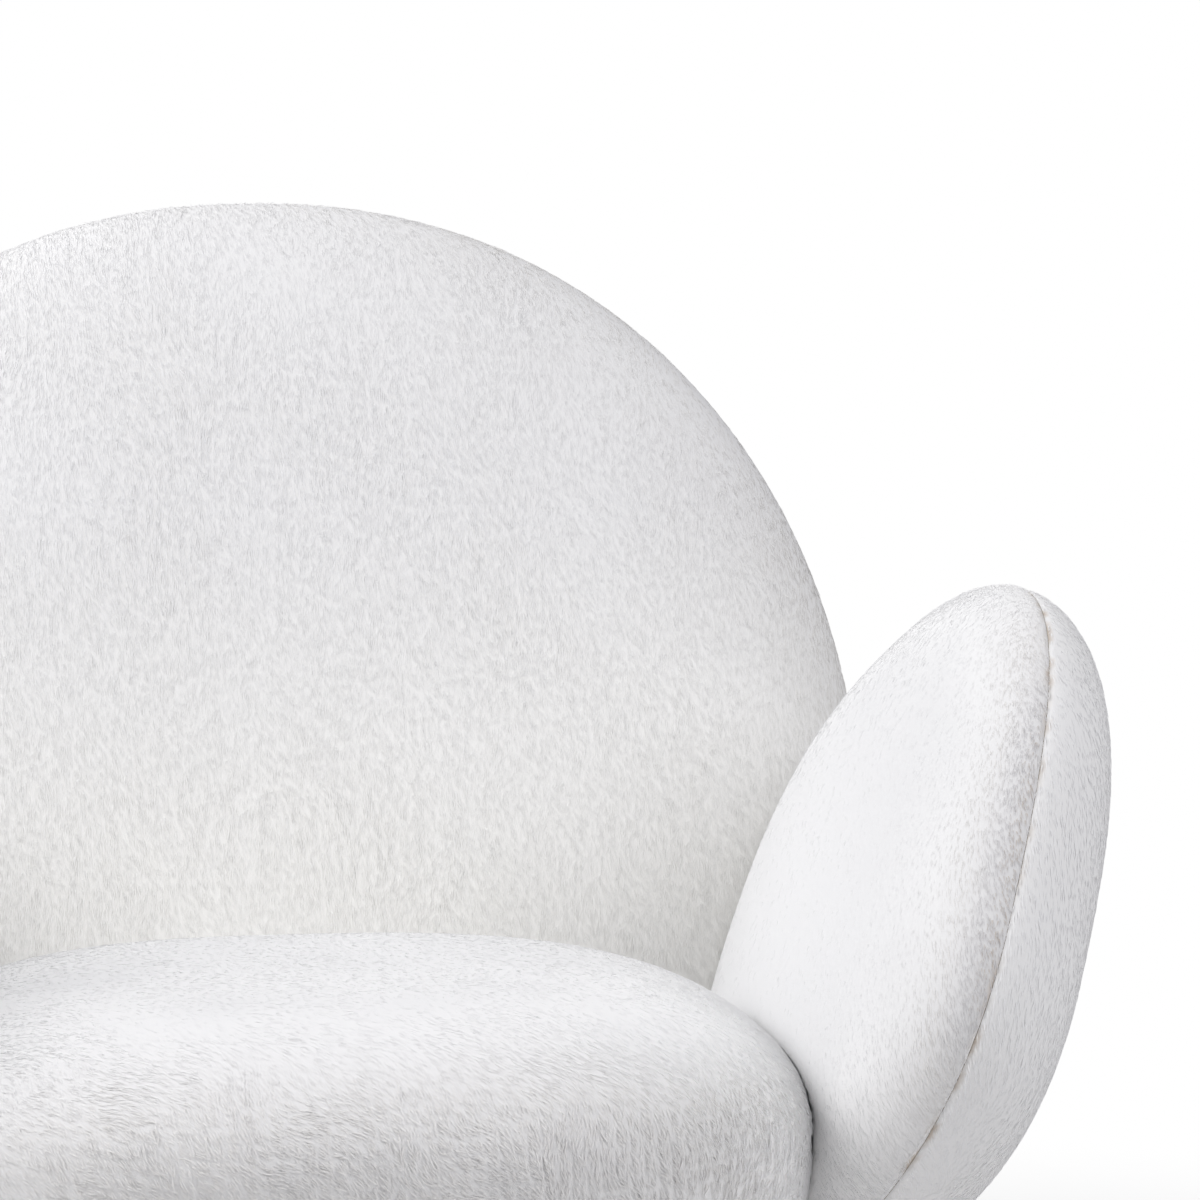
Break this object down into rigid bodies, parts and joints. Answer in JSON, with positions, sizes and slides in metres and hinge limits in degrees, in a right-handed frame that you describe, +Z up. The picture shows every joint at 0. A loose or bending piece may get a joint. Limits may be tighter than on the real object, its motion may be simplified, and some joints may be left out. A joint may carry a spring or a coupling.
{
  "type": "upholstered lounge chair",
  "caption": "Low lounge chair covered all over in short white plush, with a round reclined back, leaning petal arms, a thick crowned seat and tapered wooden legs.",
  "frame": {"origin": "on the floor, under the middle of the chair's bounding box", "axes": "+Z up, the sitter faces -Y, +X is the sitter's left"},
  "size_m": [0.7724, 0.6622, 0.7761],
  "materials": {
    "plush": "short dense faux fur, matt, combed by hand",
    "frame_wood": "sawn birch plywood and beech, unfinished",
    "leg_wood": "turned light oak, satin oil",
    "steel": "zinc plated, satin",
    "spring_steel": "oiled dark spring wire",
    "felt": "grey needled felt",
    "dust_cover": "black spunbond lining",
    "glide": "moulded off-white plastic"
  },
  "bodies": {
    "root": {"seat_pad": "plush", "back_front_pad": "plush", "back_rear_pad": "plush", "arm_left_inner_pad": "plush", "arm_left_outer_pad": "plush", "arm_right_inner_pad": "plush", "arm_right_outer_pad": "plush", "seat_ring": "frame_wood", "seat_left_rail": "frame_wood", "seat_right_rail": "frame_wood", "seat_front_rail": "frame_wood", "seat_rear_rail": "frame_wood", "front_left_corner_block": "frame_wood", "front_right_corner_block": "frame_wood", "rear_left_corner_block": "frame_wood", "rear_right_corner_block": "frame_wood", "spring_felt": "felt", "dust_cover": "dust_cover", "spring_1": "spring_steel", "spring_2": "spring_steel", "spring_3": "spring_steel", "spring_4": "spring_steel", "front_clip_bar": "steel", "rear_clip_bar": "steel", "back_board": "frame_wood", "arm_left_board": "frame_wood", "arm_right_board": "frame_wood", "arm_left_block": "frame_wood", "arm_right_block": "frame_wood", "back_left_block": "frame_wood", "back_right_block": "frame_wood", "arm_left_bolt_1": "steel", "arm_left_bolt_2": "steel", "arm_right_bolt_1": "steel", "arm_right_bolt_2": "steel", "back_left_bolt": "steel", "back_right_bolt": "steel", "arm_left_insert_1": "steel", "arm_left_insert_2": "steel", "arm_right_insert_1": "steel", "arm_right_insert_2": "steel", "back_left_insert": "steel", "back_right_insert": "steel", "front_left_leg": "leg_wood", "front_right_leg": "leg_wood", "rear_left_leg": "leg_wood", "rear_right_leg": "leg_wood", "front_left_plate": "steel", "front_right_plate": "steel", "rear_left_plate": "steel", "rear_right_plate": "steel", "front_left_hanger_bolt": "steel", "front_right_hanger_bolt": "steel", "rear_left_hanger_bolt": "steel", "rear_right_hanger_bolt": "steel", "front_left_glide": "glide", "front_right_glide": "glide", "rear_left_glide": "glide", "rear_right_glide": "glide"}
  },
  "joints": []
}
